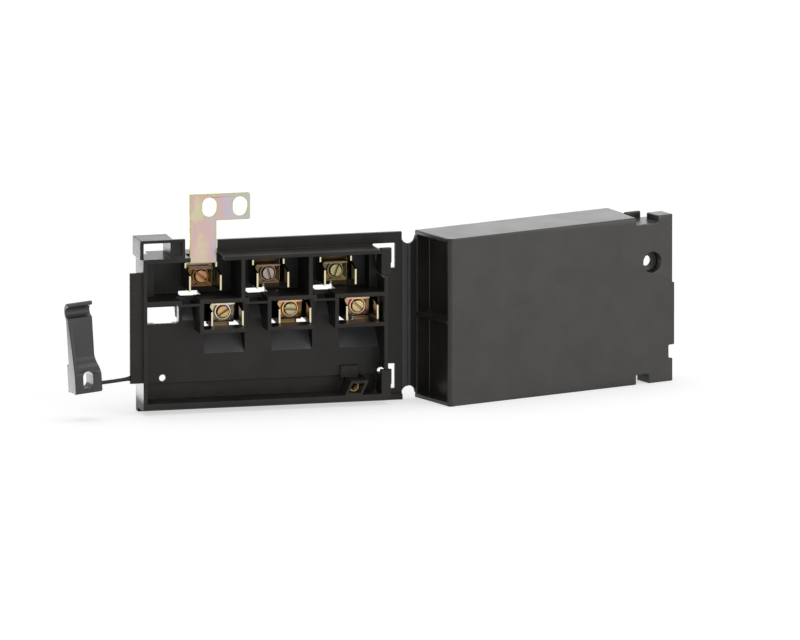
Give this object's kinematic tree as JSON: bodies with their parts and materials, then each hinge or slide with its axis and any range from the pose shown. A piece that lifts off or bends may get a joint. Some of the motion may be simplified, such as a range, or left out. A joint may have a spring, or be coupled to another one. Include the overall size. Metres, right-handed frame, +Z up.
{
  "type": "mains terminal box",
  "caption": "Black plastic mains terminal box opened nearly flat: tray with screw terminals, film-hinged wiring cover, tethered cord clamp and chromated earth strap.",
  "frame": {"origin": "on the long bottom edge that the box stands on, at mid width of the tray, in the front face of the flange", "axes": "+X along the tray towards the hinge and cover, +Y from the terminals' front to the back, +Z up"},
  "size_m": [0.2647, 0.0554, 0.09],
  "materials": {
    "black_plastic": "fine moulded grain",
    "film_plastic": "smooth, thin moulding",
    "zinc_steel": "zinc plated, pale yellow",
    "brass_contact": "bare strip brass",
    "chromated_steel": "zinc with yellow chromate, iridescent",
    "screw_steel": "zinc plated",
    "brass": "turned brass"
  },
  "bodies": {
    "base": {"base_tray": "black_plastic", "hinge_leaf_base": "film_plastic", "hinge_film": "film_plastic", "clamp_insert": "brass", "earth_strap": "chromated_steel", "terminal_cage_1": "zinc_steel", "terminal_cage_2": "zinc_steel", "terminal_cage_3": "zinc_steel", "terminal_cage_4": "zinc_steel", "terminal_cage_5": "zinc_steel", "terminal_cage_6": "zinc_steel", "contact_bar_2": "brass_contact", "contact_bar_3": "brass_contact", "contact_bar_4": "brass_contact", "contact_bar_5": "brass_contact", "contact_bar_6": "brass_contact"},
    "cover": {"rear_cover": "black_plastic", "hinge_leaf_cover": "film_plastic"},
    "clamp": {"cord_clamp": "black_plastic", "clamp_tether": "film_plastic"},
    "plate_1": {"clamp_plate_1": "zinc_steel"},
    "screw_1": {"terminal_screw_1": "screw_steel"},
    "plate_2": {"clamp_plate_2": "zinc_steel"},
    "screw_2": {"terminal_screw_2": "screw_steel"},
    "plate_3": {"clamp_plate_3": "zinc_steel"},
    "screw_3": {"terminal_screw_3": "screw_steel"},
    "plate_4": {"clamp_plate_4": "zinc_steel"},
    "screw_4": {"terminal_screw_4": "screw_steel"},
    "plate_5": {"clamp_plate_5": "zinc_steel"},
    "screw_5": {"terminal_screw_5": "screw_steel"},
    "plate_6": {"clamp_plate_6": "zinc_steel"},
    "screw_6": {"terminal_screw_6": "screw_steel"}
  },
  "joints": [
    {"name": "cover_hinge", "type": "hinge", "parent": "base", "child": "cover", "pos_m": [0.05905, 0.002, 0.035], "axis": [0, 0, 1], "range_deg": [-18.8, 161.2]},
    {"name": "clamp_swing", "type": "hinge", "parent": "base", "child": "clamp", "pos_m": [-0.06045, -0.01, 0.0157], "axis": [0, 0, 1], "range_deg": [-30, 110]},
    {"name": "plate_1_slide", "type": "slide", "parent": "base", "child": "plate_1", "axis": [0, -1, 0], "range_m": [-0.0018, 0.0015]},
    {"name": "screw_1_turn", "type": "hinge", "parent": "plate_1", "child": "screw_1", "pos_m": [-0.02895, 0, 0.0551], "axis": [0, -1, 0], "range_deg": [-1080, 900]},
    {"name": "plate_2_slide", "type": "slide", "parent": "base", "child": "plate_2", "axis": [0, -1, 0], "range_m": [-0.0018, 0.0015]},
    {"name": "screw_2_turn", "type": "hinge", "parent": "plate_2", "child": "screw_2", "pos_m": [-0.00045, 0, 0.0551], "axis": [0, -1, 0], "range_deg": [-1080, 900]},
    {"name": "plate_3_slide", "type": "slide", "parent": "base", "child": "plate_3", "axis": [0, -1, 0], "range_m": [-0.0018, 0.0015]},
    {"name": "screw_3_turn", "type": "hinge", "parent": "plate_3", "child": "screw_3", "pos_m": [0.02805, 0, 0.0551], "axis": [0, -1, 0], "range_deg": [-1080, 900]},
    {"name": "plate_4_slide", "type": "slide", "parent": "base", "child": "plate_4", "axis": [0, -1, 0], "range_m": [-0.0018, 0.0015]},
    {"name": "screw_4_turn", "type": "hinge", "parent": "plate_4", "child": "screw_4", "pos_m": [-0.01965, 0, 0.03975], "axis": [0, -1, 0], "range_deg": [-1080, 900]},
    {"name": "plate_5_slide", "type": "slide", "parent": "base", "child": "plate_5", "axis": [0, -1, 0], "range_m": [-0.0018, 0.0015]},
    {"name": "screw_5_turn", "type": "hinge", "parent": "plate_5", "child": "screw_5", "pos_m": [0.00885, 0, 0.03975], "axis": [0, -1, 0], "range_deg": [-1080, 900]},
    {"name": "plate_6_slide", "type": "slide", "parent": "base", "child": "plate_6", "axis": [0, -1, 0], "range_m": [-0.0018, 0.0015]},
    {"name": "screw_6_turn", "type": "hinge", "parent": "plate_6", "child": "screw_6", "pos_m": [0.03735, 0, 0.03975], "axis": [0, -1, 0], "range_deg": [-1080, 900]}
  ],
  "couplings": [
    {"joint": "screw_1_turn", "follows": "plate_1_slide", "rad_per_m": 10472},
    {"joint": "screw_2_turn", "follows": "plate_2_slide", "rad_per_m": 10472},
    {"joint": "screw_3_turn", "follows": "plate_3_slide", "rad_per_m": 10472},
    {"joint": "screw_4_turn", "follows": "plate_4_slide", "rad_per_m": 10472},
    {"joint": "screw_5_turn", "follows": "plate_5_slide", "rad_per_m": 10472},
    {"joint": "screw_6_turn", "follows": "plate_6_slide", "rad_per_m": 10472}
  ]
}
